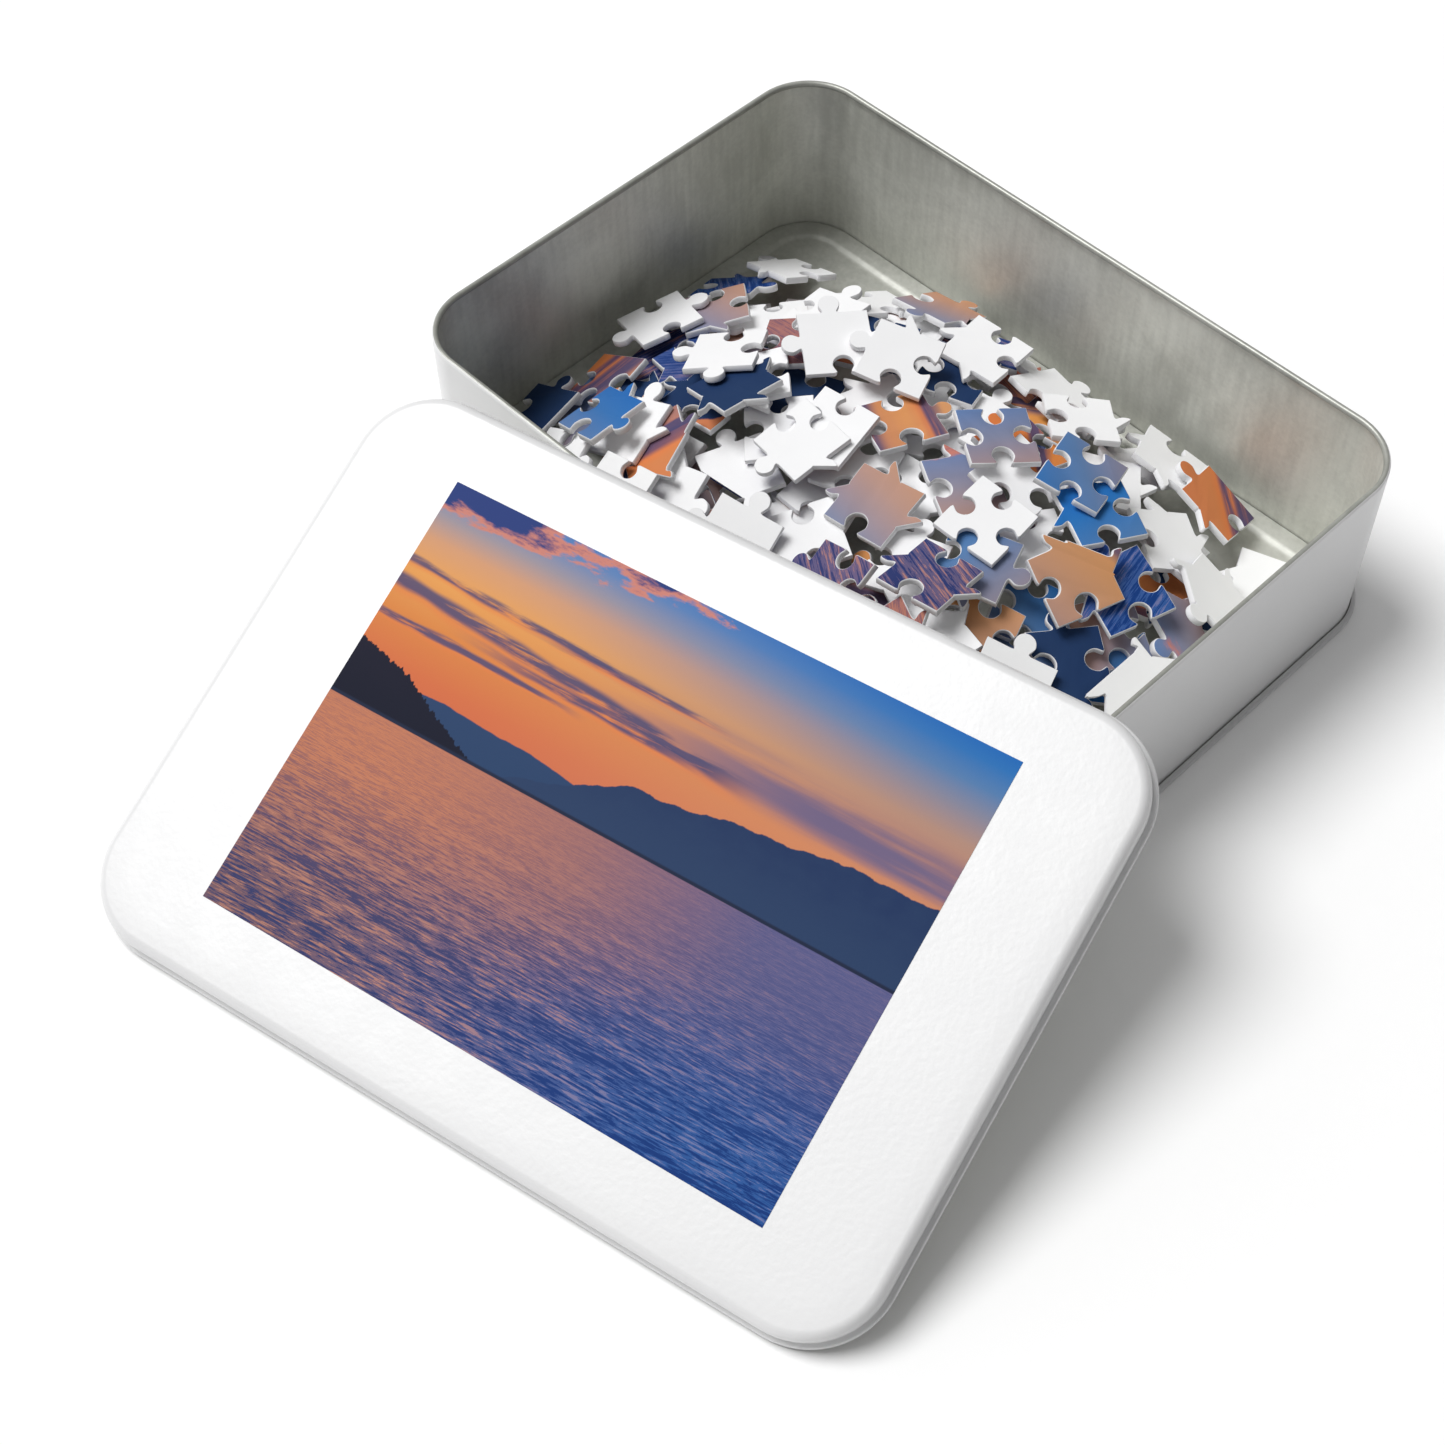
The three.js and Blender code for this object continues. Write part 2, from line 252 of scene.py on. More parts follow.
def band(s, v, middle, half, soft=0.6):
    """1 within half of middle, fading to 0 at (1 + soft) times that."""
    off = s.math("ABSOLUTE", s.math("SUBTRACT", v, middle))
    return s.math("SUBTRACT", 1, s.fade(s.math("DIVIDE", off, half), 1 - soft, 1 + soft))


def sky_colour(s, u, v):
    """Dusk from orange at the horizon to blue above, bluer to the right, with long streaks of cloud."""
    height = s.math("MULTIPLY_ADD", v, 2, -1)    # 0 at the horizon, 1 at the picture's top
    left = s.ramp(height, [
        (0.0, linear(206, 100, 72)), (0.2, linear(212, 112, 70)), (0.4, linear(218, 134, 70)),
        (0.6, linear(230, 160, 88)), (0.74, linear(212, 156, 118)), (0.84, linear(160, 148, 156)),
        (0.94, linear(104, 134, 182)), (1.0, linear(84, 126, 184))])
    right = s.ramp(height, [
        (0.0, linear(204, 128, 96)), (0.36, linear(206, 136, 98)), (0.5, linear(186, 132, 110)),
        (0.62, linear(176, 138, 122)), (0.74, linear(132, 132, 152)), (0.84, linear(84, 124, 172)),
        (0.94, linear(44, 112, 180)), (1.0, linear(32, 104, 180))])
    base = s.mix(s.fade(u, 0.1, 1.0), left, right)
    veil = s.noise(s.vector(s.times(u, 1.6), s.times(v, 16)), scale=1, detail=4, roughness=0.55)
    haze = s.times(s.fade(u, 0.3, 0.8), band(s, v, s.math("MULTIPLY_ADD", u, -0.06, 0.78), 0.045))
    base = s.mix(s.times(haze, s.fade(veil, 0.3, 0.6)), base, linear(112, 98, 130))
    # long streaks, slate blue above and lit along their lower edge: each one's height at the left, rise
    # to the right, half thickness, ends and place in the noise
    for middle, rise, half, start, end, seed in (
            (0.815, -0.05, 0.010, -0.2, 0.5, 2.0), (0.765, -0.09, 0.017, -0.3, 0.7, 5.0),
            (0.725, -0.05, 0.011, 0.1, 0.62, 9.0), (0.69, -0.02, 0.008, -0.2, 0.4, 13.0),
            (0.79, 0.0, 0.006, 0.2, 0.62, 17.0)):
        wave = s.noise(s.vector(s.times(u, 3), seed), scale=1, detail=3)
        rag = s.noise(s.vector(s.times(u, 7), s.times(v, 60), seed), scale=1, detail=5, roughness=0.6)
        line = s.math("MULTIPLY_ADD", s.math("SUBTRACT", wave, 0.5), 0.03, middle)
        line = s.math("MULTIPLY_ADD", u, rise, line)
        swell = s.noise(s.vector(s.times(u, 5), seed + 30), scale=1, detail=2)
        thick = s.math("MAXIMUM", s.times(s.math("MULTIPLY_ADD", swell, 1.9, -0.1), half), 0.0008)
        run = s.math("SUBTRACT", 1, s.fade(u, end - 0.12, end))
        run = s.times(s.fade(u, start, start + 0.25), run)
        under = s.math("SUBTRACT", line, s.times(thick, 0.9))
        glow = s.times(band(s, v, under, thick, 0.7), s.times(run, 0.55))
        base = s.mix(glow, base, linear(226, 128, 72))
        dark = s.times(band(s, v, line, thick, 0.5), s.times(run, s.fade(rag, 0.32, 0.5)))
        base = s.mix(s.times(dark, 0.9), base, linear(66, 72, 112))
    billow = s.noise(s.vector(s.times(u, 6), s.times(v, 14)), scale=1, detail=6, roughness=0.62)
    # a bank of cloud in the top left corner, pink along its lower edge
    bank = s.add(s.times(s.fade(v, 0.88, 0.985), 0.46), s.times(s.math("SUBTRACT", 0.36, u), 0.55),
                 billow)
    base = s.mix(s.times(s.fade(bank, 0.90, 0.97), s.fade(v, 0.84, 0.9)), base, linear(206, 132, 118))
    return s.mix(s.times(s.fade(bank, 0.97, 1.07), s.fade(v, 0.85, 0.92)), base, linear(42, 62, 124))


def ridge(s, u, v, base, heights, rough, low, high, seed):
    """Hills in front of base, from (u, v) along their crest, the (count, size) of the bumps on it, and
    their colours low down and high up."""
    crest = s.ramp(u, [(at, (h, h, h, 1)) for at, h in heights])
    wobble = s.noise(s.vector(s.times(u, rough[0]), seed), scale=1, detail=6, roughness=0.55)
    crest = s.math("MULTIPLY_ADD", s.math("SUBTRACT", wobble, 0.5), rough[1], crest)
    fold = s.noise(s.vector(s.times(u, 22), s.times(v, 26), seed), scale=1, detail=4)
    tone = s.mix(s.times(fold, s.fade(v, 0.5, 0.66)), low, high)
    return s.mix(s.fade(s.math("SUBTRACT", crest, v), 0.0, 0.003), base, tone)


def water_colour(s, u, v, ripples):
    """A lake with long ripples: peach at the left and far off, blue at the right and near."""
    near = s.math("SUBTRACT", 0.54, v)
    blue = s.add(s.fade(u, 0.1, 0.95), s.times(s.fade(near, 0.2, 0.56), 0.5))
    base = s.ramp(s.times(blue, 0.66), [
        (0.0, linear(196, 124, 92)), (0.3, linear(160, 110, 108)), (0.6, linear(98, 94, 136)),
        (1.0, linear(58, 92, 150))])
    close = s.mix(s.fade(u, 0.0, 0.9), linear(104, 84, 98), linear(38, 88, 156))
    base = s.mix(s.times(s.fade(near, 0.12, 0.5), 0.75), base, close)
    # ripples shrink towards the shore, as they do with distance
    far = s.math("LOGARITHM", near, math.e)
    across = s.math("DIVIDE", u, s.add(near, 0.1))
    down = s.math("MULTIPLY_ADD", far, ripples, s.times(u, ripples / 9))
    lines = s.vector(s.times(across, ripples * 0.12), down)
    ripple = s.noise(lines, scale=1, detail=6, roughness=0.7, distortion=0.2)
    swell = s.noise(s.vector(s.times(across, 1.2), s.times(far, 14)), scale=1, detail=2)
    ripple = s.math("MULTIPLY_ADD", s.math("SUBTRACT", swell, 0.5), 0.3, ripple)
    depth = s.math("MULTIPLY_ADD", s.fade(near, 0.05, 0.5), 0.7, 0.25)
    trough = s.mix(s.fade(blue, 0.3, 1.3), linear(50, 58, 104), linear(16, 54, 120))
    crest = s.mix(s.fade(blue, 0.6, 1.4), linear(206, 142, 114), linear(134, 134, 172))
    base = s.mix(s.times(s.fade(ripple, 0.505, 0.535), depth), base, trough)
    light = s.times(s.math("SUBTRACT", 1, s.fade(ripple, 0.41, 0.44)), s.times(depth, 0.65))
    return s.mix(light, base, crest)


def picture(name, roughness, ripples):
    """A lake at sunset over the mesh's UV map, 0 to 1 each way. More ripples are finer ones."""
    s = Shader(name, roughness=roughness)
    s.bsdf.inputs["Specular IOR Level"].default_value = 0.06
    uv = s.node("ShaderNodeSeparateXYZ", Vector=s.tree.nodes.new("ShaderNodeUVMap").outputs[0])
    u, v = uv.outputs[0], uv.outputs[1]
    sky = sky_colour(s, u, v)
    sky = ridge(s, u, v, sky, [(0.0, 0.56), (0.18, 0.575), (0.34, 0.57), (0.46, 0.55), (0.55, 0.5)],
                (9, 0.02), linear(40, 66, 104), linear(46, 68, 108), 3.0)
    sky = ridge(s, u, v, sky, [(0.3, 0.49), (0.5, 0.60), (0.64, 0.63), (0.8, 0.66), (1.0, 0.675)],
                (11, 0.05), linear(40, 62, 98), linear(22, 44, 88), 7.0)
    sky = ridge(s, u, v, sky, [(0.0, 0.625), (0.1, 0.595), (0.18, 0.545), (0.26, 0.5), (0.3, 0.47)],
                (120, 0.04), linear(14, 18, 40), linear(30, 26, 46), 1.0)
    shore = s.math("SUBTRACT", 1, s.fade(v, 0.497, 0.502))
    sky = s.mix(shore, sky, linear(28, 38, 64))
    s.colour(s.mix(s.fade(v, 0.4915, 0.4935), water_colour(s, u, v, ripples), sky))
    s.bump(s.noise(s.position(), scale=1500, detail=2), 0.00004, 0.4)
    return s.material


ENAMEL = enamel()
# one bare tinplate in copies of differing painted brightness: painted light on the tin's inner walls and
# the lid's inside, painted shade on the floor and a little on the rim
TINPLATE = tinplate("bare_tinplate", 1.22, 0.36)
FLOOR_TIN = tinplate("bare_tinplate_floor", 1.02, 0.36)
RIM_TIN = tinplate("rolled_rim_tinplate", 0.95, 0.26)
# the lid's hem at half brightness: painted shade and a painted dark reflection along the lid's lower edge
HEM_TIN_PAINTED_SHADE = tinplate("hem_tinplate_painted_shade", 0.5, 0.3)
WHITE_CARD = card("white_card", (250, 250, 251))
CUT_CARD = card("cut_card_edge", (236, 236, 238))
LID_PRINT = picture("lake_print_on_tin", 0.45, 86)
CARD_PRINT = picture("lake_print_on_card", 0.5, 95)


# ---- Sheet-metal shells ----

SHARP_FOLD = 42             # degrees; a sharper fold in the sheet isn't shaded smooth
SHARP_CUT = 50              # the same for card


def ring(size, radius, offset, z):
    """Points of a rounded rectangle, counter-clockwise, its edge moved out by offset."""
    r = radius + offset
    x, y = size[0] / 2 + offset - r, size[1] / 2 + offset - r
    points = []
    for corner, (cx, cy) in enumerate(((x, y), (-x, y), (-x, -y), (x, -y))):
        for i in range(CORNER_STEPS + 1):
            a = (corner + i / CORNER_STEPS) * math.pi / 2
            points.append(Vector((cx + r * math.cos(a), cy + r * math.sin(a), z)))
    return points


def arc(offset, z, radius, start, end, steps):
    """(offset, z) pairs on an arc, angles in degrees from the outward direction."""
    angles = [math.radians(start + (end - start) * i / steps) for i in range(steps + 1)]
    return [(offset + radius * math.cos(a), z + radius * math.sin(a)) for a in angles]


def shell(name, size, radius, profile, looped, materials, paint, matrix):
    """A skin through one ring per profile point. paint(i) picks the material of the band after ring i."""
    mesh = bpy.data.meshes.new(name)
    work = bmesh.new()
    rows = [[work.verts.new(matrix @ p) for p in ring(size, radius, offset, z)] for offset, z in profile]
    bands = list(zip(rows, rows[1:] + rows[:1] if looped else rows[1:]))
    for i, (row, following) in enumerate(bands):
        for k in range(len(row)):
            n = (k + 1) % len(row)
            work.faces.new((row[k], following[k], following[n], row[n])).material_index = paint(i)
    if not looped:
        work.faces.new(rows[0]).material_index = paint(0)
        work.faces.new(rows[-1][::-1]).material_index = paint(len(rows) - 1)
    soften(work, SHARP_FOLD)
    work.to_mesh(mesh)
    for material in materials:
        mesh.materials.append(material)
    return link(name, mesh)


def soften(work, sharp_angle):
    """Smooth shading that keeps edges sharper than sharp_angle degrees."""
    work.normal_update()
    for face in work.faces:
        face.smooth = True
    for edge in work.edges:
        edge.smooth = len(edge.link_faces) == 2 and edge.calc_face_angle(0) < math.radians(sharp_angle)


def link(name, mesh):
    piece = bpy.data.objects.new(name, mesh)
    bpy.context.scene.collection.objects.link(piece)
    return piece


def make_tin():
    place = Matrix.Translation(TIN_MIDDLE)
    size = (TIN_SIZE.x, TIN_SIZE.y)
    # the wall: over the rim and down the outside, then up the inside and round the curl
    z = TIN_RIM - CURL
    outside = arc(-CURL, z, CURL, 60, 0, 6) + [(0, TIN_LOW.z)]
    inside = [(-SHEET, TIN_LOW.z)]
    curl = arc(-CURL, z, CURL, 287, 75, 18)
    foot, rolled = len(outside) - 1, len(outside + inside)
    # the inside takes the tinplate copy painted lighter (painted light), the curl one painted a little
    # darker (painted shade)
    piece = shell("tin_body", size, TIN_CORNER, outside + inside + curl, True,
                  [ENAMEL, TINPLATE, RIM_TIN], lambda i: 0 if i < foot else 1 if i < rolled else 2, place)
    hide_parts("tin_wall")
    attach(piece, "tin")
    # the base, in mm: its floor and the step up to the wall, the seam bead outside, and its underside
    floor = [(-8, 1.4), (-7.3, 1.43), (-6.6, 1.62), (-6.0, 1.95), (-5.5, 2.12), (-5.0, 2.2), (-0.9, 2.2),
             (-0.9, 1.1), (0.3, 1.1)]
    seam = [(0.3, 2.6)] + arc(0.3, 1.4, 1.2, 90, 0, 8) + [(1.46, 1.0), (1.3, 0.6), (1.1, 0.3)]
    under = [(0.8, 0.08), (0.5, 0), (-1.3, 0), (-1.8, 0.4), (-1.9, 1.5), (-5.1, 1.5), (-6.2, 0.9),
             (-8, 0.8)]
    section = [(offset * MM, z * MM) for offset, z in floor + seam + under]
    beaded, turned = len(floor), len(floor + seam)
    # its floor takes the tinplate copy painted darker than the walls, which is painted shade
    base = shell("tin_floor_and_seam", size, TIN_CORNER, section, False, [FLOOR_TIN, ENAMEL],
                 lambda i: 1 if beaded <= i < turned else 0, place)
    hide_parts("tin_base")
    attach(base, "tin")


# ---- Lid ----

PRINT_GAP = 0.1 * MM        # between the lid and the CAD's plate with the picture
PRINT_LIFT = 0.08 * MM      # between the lid and the picture here
PRINT_GRID = (30, 22)       # faces along and up the picture


def plate_frame(node):
    """A CAD plate's centre, turn and thickness, from its corners: X along its length, Z off its face."""
    corners = {tuple(round(c, 7) for c in v.co) for v in frame["nodes"][node].data.vertices}
    points = [Vector(corner) for corner in corners]
    centre = sum(points, Vector()) / len(points)
    first = points[0]
    edges = sorted((p - first for p in points if p is not first), key=lambda e: e.length)
    thin = edges[0]
    width = next(e for e in edges if abs(e.dot(thin)) < 1e-7 and e is not thin)
    up = thin.normalized() * (1 if thin.z > 0 else -1)
    across = width.normalized() * (1 if width.y > 0 else -1)
    return centre, Matrix((across.cross(up), across, up)).transposed(), thin.length


def make_lid():
    centre, turn, sheet = plate_frame("lid_picture")
    top = centre - turn.col[2] * (sheet / 2 + PRINT_GAP)
    place = Matrix.Translation(top) @ turn.to_4x4()
    size = (TIN_SIZE.x + 2 * LID_CLEARANCE, TIN_SIZE.y + 2 * LID_CLEARANCE)
    # its section, in mm: the top and skirt with a rolled groove, the hem, and the inside
    skirt = [(-8, 0)] + arc(-2.4, -2.4, 2.4, 90, 0, 12) + [
        (0, -4.0), (-0.08, -4.2), (-0.3, -4.42), (-0.38, -4.7), (-0.38, -5.0), (-0.25, -5.25),
        (0.2, -5.42), (0.7, -5.6), (1.05, -5.9)]
    hem = [(1.2, -6.3), (1.15, -6.7), (0.9, -7.05), (0.5, -7.2)]
    inside = [(-0.4, -7.2), (-0.8, -7.0), (-0.95, -6.7), (-0.95, -2.8), (-1.1, -1.9), (-1.6, -1.1),
              (-2.2, -0.75), (-2.8, -0.6), (-8, -0.6)]
    section = [(offset * MM, z * MM) for offset, z in skirt + hem + inside]
    edge, cut = len(skirt), len(skirt + hem)
    # the hem band takes the darkened tinplate, a painted dark line of shade and reflection under the
    # skirt
    piece = shell("lid", size, TIN_CORNER + LID_CLEARANCE, section, False, [ENAMEL, TINPLATE, HEM_TIN_PAINTED_SHADE],
                  lambda i: 0 if i < edge else 2 if i < cut else 1, place)
    # the picture covers the CAD's plate, in the lid's own axes
    local = [turn.transposed() @ (v.co - top) for v in frame["nodes"]["lid_picture"].data.vertices]
    low = Vector((min(p.x for p in local), min(p.y for p in local)))
    high = Vector((max(p.x for p in local), max(p.y for p in local)))
    mesh = bpy.data.meshes.new("lid_print")
    work = bmesh.new()
    layer = work.loops.layers.uv.new("picture")
    columns, rows = PRINT_GRID
    grid = [[work.verts.new(place @ Vector((low.x + (high.x - low.x) * i / columns,
                                            low.y + (high.y - low.y) * j / rows, PRINT_LIFT)))
             for i in range(columns + 1)] for j in range(rows + 1)]
    for j in range(rows):
        for i in range(columns):
            face = work.faces.new((grid[j][i], grid[j][i + 1], grid[j + 1][i + 1], grid[j + 1][i]))
            for loop, (du, dv) in zip(face.loops, ((0, 0), (1, 0), (1, 1), (0, 1))):
                loop[layer].uv = ((i + du) / columns, (j + dv) / rows)
    soften(work, SHARP_FOLD)
    work.to_mesh(mesh)
    mesh.materials.append(LID_PRINT)
    printed = link("lid_print", mesh)
    for p, node, slot in ((piece, "lid_shell", "enamelled_lid"), (printed, "lid_picture", "lid_print")):
        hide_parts(node)
        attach(p, "lid")


# ---- Puzzle pieces ----

# Where on the picture each kind of printed piece comes from: low and high (u, v).
PRINT_SPOTS = {
    "print_navy": ((0.62, 0.53), (0.95, 0.6)), "print_sky": ((0.7, 0.9), (0.97, 0.97)),
    "print_sunset": ((0.05, 0.66), (0.6, 0.82)), "print_dusk": ((0.25, 0.84), (0.6, 0.94)),
    "print_ripple": ((0.1, 0.05), (0.95, 0.36)),
}
STRAIGHT = 4 * MM           # an edge of the outline that is shorter than this is part of a bend


def smooth_outline(points, steps=4):
    """A finer closed outline through points, rounding every bend but the four sharp corners."""
    count = len(points)
    shortest = [min((p - points[i - 1]).length, (points[(i + 1) % count] - p).length)
                for i, p in enumerate(points)]
    fine = []
    for i in range(count):
        a, b, c, d = (points[(i + k) % count] for k in (-1, 0, 1, 2))
        if (c - b).length > STRAIGHT:
            fine.append(b)
            continue
        if shortest[i] > STRAIGHT:
            a = b * 2 - c
        if shortest[(i + 1) % count] > STRAIGHT:
            d = c * 2 - b
        for j in range(steps):
            t = j / steps
            fine.append(0.5 * ((2 * b) + (c - a) * t + (2 * a - 5 * b + 4 * c - d) * t * t
                               + (3 * b - a - 3 * c + d) * t ** 3))
    return fine


def inset(points, amount):
    """The outline moved inwards by amount, mitred at its bends."""
    moved = []
    count = len(points)
    for i, p in enumerate(points):
        before = (p - points[i - 1]).normalized()
        after = (points[(i + 1) % count] - p).normalized()
        way = (before + after).normalized()
        moved.append(p + Vector((-way.y, way.x)) * (amount / max(way.dot(after), 0.7)))
    return moved


# The die rounds the face's edge and drags the white core up round it: (inset, height) in mm.
EDGE = [(0.10, 0.0), (0.0, 0.12), (0.0, 1.25), (0.03, 1.48), (0.1, 1.66), (0.24, 1.77), (0.38, 1.8)]
CORE_BANDS = 5              # bands of EDGE that show the white core


def fill_piece(work, layer, outline, place, face_up, spot, turn):
    """Adds one puzzle piece to work. outline is flat and counter-clockwise, place puts it in the heap,
    and spot and turn say where on the picture it was cut."""
    fine = smooth_outline(outline)
    flip = Matrix.Identity(4)
    if not face_up:
        flip = Matrix.Translation((0, 0, CARD)) @ Matrix.Scale(-1, 4, (0, 0, 1))
    rows = [[work.verts.new(place @ (flip @ Vector((*p, height * MM)))) for p in inset(fine, off * MM)]
            for off, height in EDGE]
    faces = []
    for i, (lower, upper) in enumerate(zip(rows, rows[1:])):
        for k in range(len(lower)):
            n = (k + 1) % len(lower)
            face = work.faces.new((lower[k], lower[n], upper[n], upper[k]))
            face.material_index = 1 if i < CORE_BANDS else 2
            faces.append(face)
    flat = [Vector((*p, 0)) for p in inset(fine, EDGE[-1][0] * MM)]
    for a, b, c in mathutils.geometry.tessellate_polygon([flat]):
        top = [rows[-1][i] for i in (a, b, c)]
        bottom = [rows[0][i] for i in (c, b, a)]
        if (flat[b] - flat[a]).cross(flat[c] - flat[a]).z < 0:
            top, bottom = top[::-1], bottom[::-1]
        faces.append(work.faces.new(top))
        faces[-1].material_index = 2
        faces.append(work.faces.new(bottom))
        faces[-1].material_index = 0
    back = (place @ flip).inverted()
    cos, sin = math.cos(turn), math.sin(turn)
    for face in faces:
        for loop in face.loops:
            p = back @ loop.vert.co
            x, y = p.x * cos - p.y * sin, p.x * sin + p.y * cos
            loop[layer].uv = (spot[0] + x / PUZZLE_SIZE[0], spot[1] + y / PUZZLE_SIZE[1])
    if not face_up:
        bmesh.ops.reverse_faces(work, faces=faces)


def finish_pieces(name, work):
    soften(work, SHARP_CUT)
    mesh = bpy.data.meshes.new(name)
    work.to_mesh(mesh)
    for material in (WHITE_CARD, CUT_CARD, CARD_PRINT):
        mesh.materials.append(material)
    return link(name, mesh)


def spot_for(kind, chance):
    """A place on the picture for a piece of this kind."""
    low, high = PRINT_SPOTS.get(kind, PRINT_SPOTS["print_ripple"])
    return chance.uniform(low[0], high[0]), chance.uniform(low[1], high[1])


def cad_plate(node):
    """A CAD puzzle piece as (flat outline, placing matrix): its underside's outline in its own plane."""
    work = bmesh.new()
    work.from_mesh(frame["nodes"][node].data)
    bmesh.ops.remove_doubles(work, verts=work.verts, dist=1e-6)
    bmesh.ops.dissolve_limit(work, angle_limit=math.radians(0.5), verts=work.verts, edges=work.edges)
    work.normal_update()
    under = max((f for f in work.faces if f.normal.z < 0), key=lambda f: f.calc_area())
    up = -under.normal.normalized()
    centre = sum((v.co for v in under.verts), Vector()) / len(under.verts)
    points = [v.co.copy() for v in under.verts][::-1]
    across = (points[1] - points[0]).normalized()
    turn = Matrix((across, up.cross(across), up)).transposed().to_4x4()
    place = Matrix.Translation(centre) @ turn
    back = place.inverted()
    outline = [(back @ p).to_2d() for p in points]
    work.free()
    return outline, place


def make_top_pieces(chance):
    bodies = frame["record"]["behaviour"]["bodies"]
    for node in sorted(n for n in frame["nodes"] if n.startswith("puzzle_piece_")):
        slot = SLOT_OF[node]
        outline, place = cad_plate(node)
        work = bmesh.new()
        layer = work.loops.layers.uv.new("picture")
        face_up = slot != "card_back"
        fill_piece(work, layer, outline, place, face_up, spot_for(slot, chance),
                   chance.uniform(0, 2 * math.pi))
        piece = finish_pieces(node.replace("puzzle_piece", "piece"), work)
        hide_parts(node)
        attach(piece, next(body for body, nodes in bodies.items() if node in nodes))


# ---- The rest of the heap, which the CAD has as one mound ----

CELL = 1 * MM
SLOPES = np.linspace(-1, 1, 7)  # slopes to try, as shares of the steepest
STEEPEST = 0.5              # rise over run of a piece
CLEARANCE = 0.2 * MM        # air between one piece and the next
CAD_MARGIN = 1.0 * MM       # how much wider than its outline each of the CAD's pieces is on the maps
MARGIN = 1.1 * MM           # the same for the pieces added here
NEARBY = 6                  # mm from a gap to the middle of the piece that fills it, at most
LEAST_USE = 0.04            # how much of such a piece fills a gap, at least
CHOICES = 12                # places tried for each piece laid on the heap, of which the lowest is taken
LEAST_RISE = 1 * MM         # how far below its wanted height the heap is there, at least
FLOOR_LEVEL = 2.4 * MM      # just above the bead round the tin's floor
HEAP_KINDS = ["card_back"] * 6 + ["print_navy", "print_ripple", "print_ripple", "print_sunset",
                                  "print_dusk", "print_sky"]


class Heap:
    """Maps over the tin's floor. top is what a piece would lie on, roof is what is above a gap, open is
    where nothing lies over the mound, and loose is where a piece lies that lifts out."""

    def __init__(self):
        self.columns, self.rows = int(TIN_SIZE.x / CELL), int(TIN_SIZE.y / CELL)
        self.x, self.y = np.meshgrid(TIN_LOW.x + (np.arange(self.columns) + 0.5) * CELL,
                                     TIN_LOW.y + (np.arange(self.rows) + 0.5) * CELL)
        # the CAD's mound: a dome, narrower at the far wall, with reach 0 in its middle and 1 at its foot
        v = (self.y - TIN_MIDDLE.y - HEAP_Y) / HEAP_WIDTH
        u = (self.x - TIN_MIDDLE.x - HEAP_X) / (HEAP_LENGTH * (1 - HEAP_TAPER * v))
        reach = (np.abs(u) ** HEAP_CORNERS + np.abs(v) ** HEAP_CORNERS) ** (1 / HEAP_CORNERS)
        shoulder, slope = HEAP_SIDES
        mound = FLOOR_LEVEL + HEAP_HEIGHT * np.clip(1 - reach ** shoulder, 0, 1) ** slope
        self.roof = mound + HEAP_SWELL
        self.top = mound.copy()
        self.inside = reach < HEAP_REACH
        self.open = self.inside.copy()
        self.loose = np.zeros_like(self.open)
        # the heap spreads to the walls, but for the two far corners
        from_left, from_right = self.x - TIN_LOW.x, TIN_HIGH.x - self.x
        from_near, from_far = self.y - TIN_LOW.y, TIN_HIGH.y - self.y
        self.spread = (from_left + from_far > BARE_LEFT) & (from_right + from_far > BARE_RIGHT) & (
            np.minimum(np.minimum(from_left, from_right), np.minimum(from_near, from_far)) > WALL_MARGIN)
        self.wanted = mound + HEAP_COVER
        # what the record calls open space stays open
        self.limit = np.full_like(mound, HEAP_LIMIT)
        for opening in frame["record"]["physics"]["openings"]:
            low, high = opening["box_m"]
            over = (self.x > low[0]) & (self.x < high[0]) & (self.y > low[1]) & (self.y < high[1])
            self.limit[over] = np.minimum(self.limit[over], low[2])

    def under(self, outline):
        """Rows and columns of the cells inside a flat outline given in the frame's X and Y."""
        xs, ys = np.array([p.x for p in outline]), np.array([p.y for p in outline])
        c0, c1 = (int((v - TIN_LOW.x) / CELL) for v in (xs.min(), xs.max()))
        r0, r1 = (int((v - TIN_LOW.y) / CELL) for v in (ys.min(), ys.max()))
        if c0 < 2 or r0 < 2 or c1 >= self.columns - 2 or r1 >= self.rows - 2:
            return None
        part = (slice(r0, r1 + 1), slice(c0, c1 + 1))
        px, py = self.x[part][..., None], self.y[part][..., None]
        nx, ny = np.roll(xs, -1), np.roll(ys, -1)
        crosses = ((ys > py) != (ny > py)) & (px < xs + (nx - xs) * (py - ys) / (ny - ys + 1e-12))
        rows, columns = np.nonzero(crosses.sum(axis=-1) % 2 == 1)
        return rows + r0, columns + c0

    def settle(self, cells, x, y, heights, sign):
        """The plane that lies on heights, or under them if sign is -1: its slopes along X and Y, and its
        height at (x, y)."""
        dx, dy, h = self.x[cells] - x, self.y[cells] - y, heights[cells] * sign
        best, reach = np.zeros(2), STEEPEST
        for _ in range(4):
            a, b = (g.ravel() for g in np.meshgrid(best[0] + SLOPES * reach, best[1] + SLOPES * reach))
            a, b = np.clip(a, -STEEPEST, STEEPEST), np.clip(b, -STEEPEST, STEEPEST)
            levels = (h[None] - sign * (a[:, None] * dx + b[:, None] * dy)).max(axis=1)
            pick = levels.argmin()
            best, level, reach = np.array((a[pick], b[pick])), levels[pick], reach / 3
        return best[0], best[1], level * sign

    def mark(self, cells, under, thick):
        self.roof[cells] = np.minimum(self.roof[cells], under)
        self.top[cells] = np.maximum(self.top[cells], under + thick)
        self.open[cells] = False


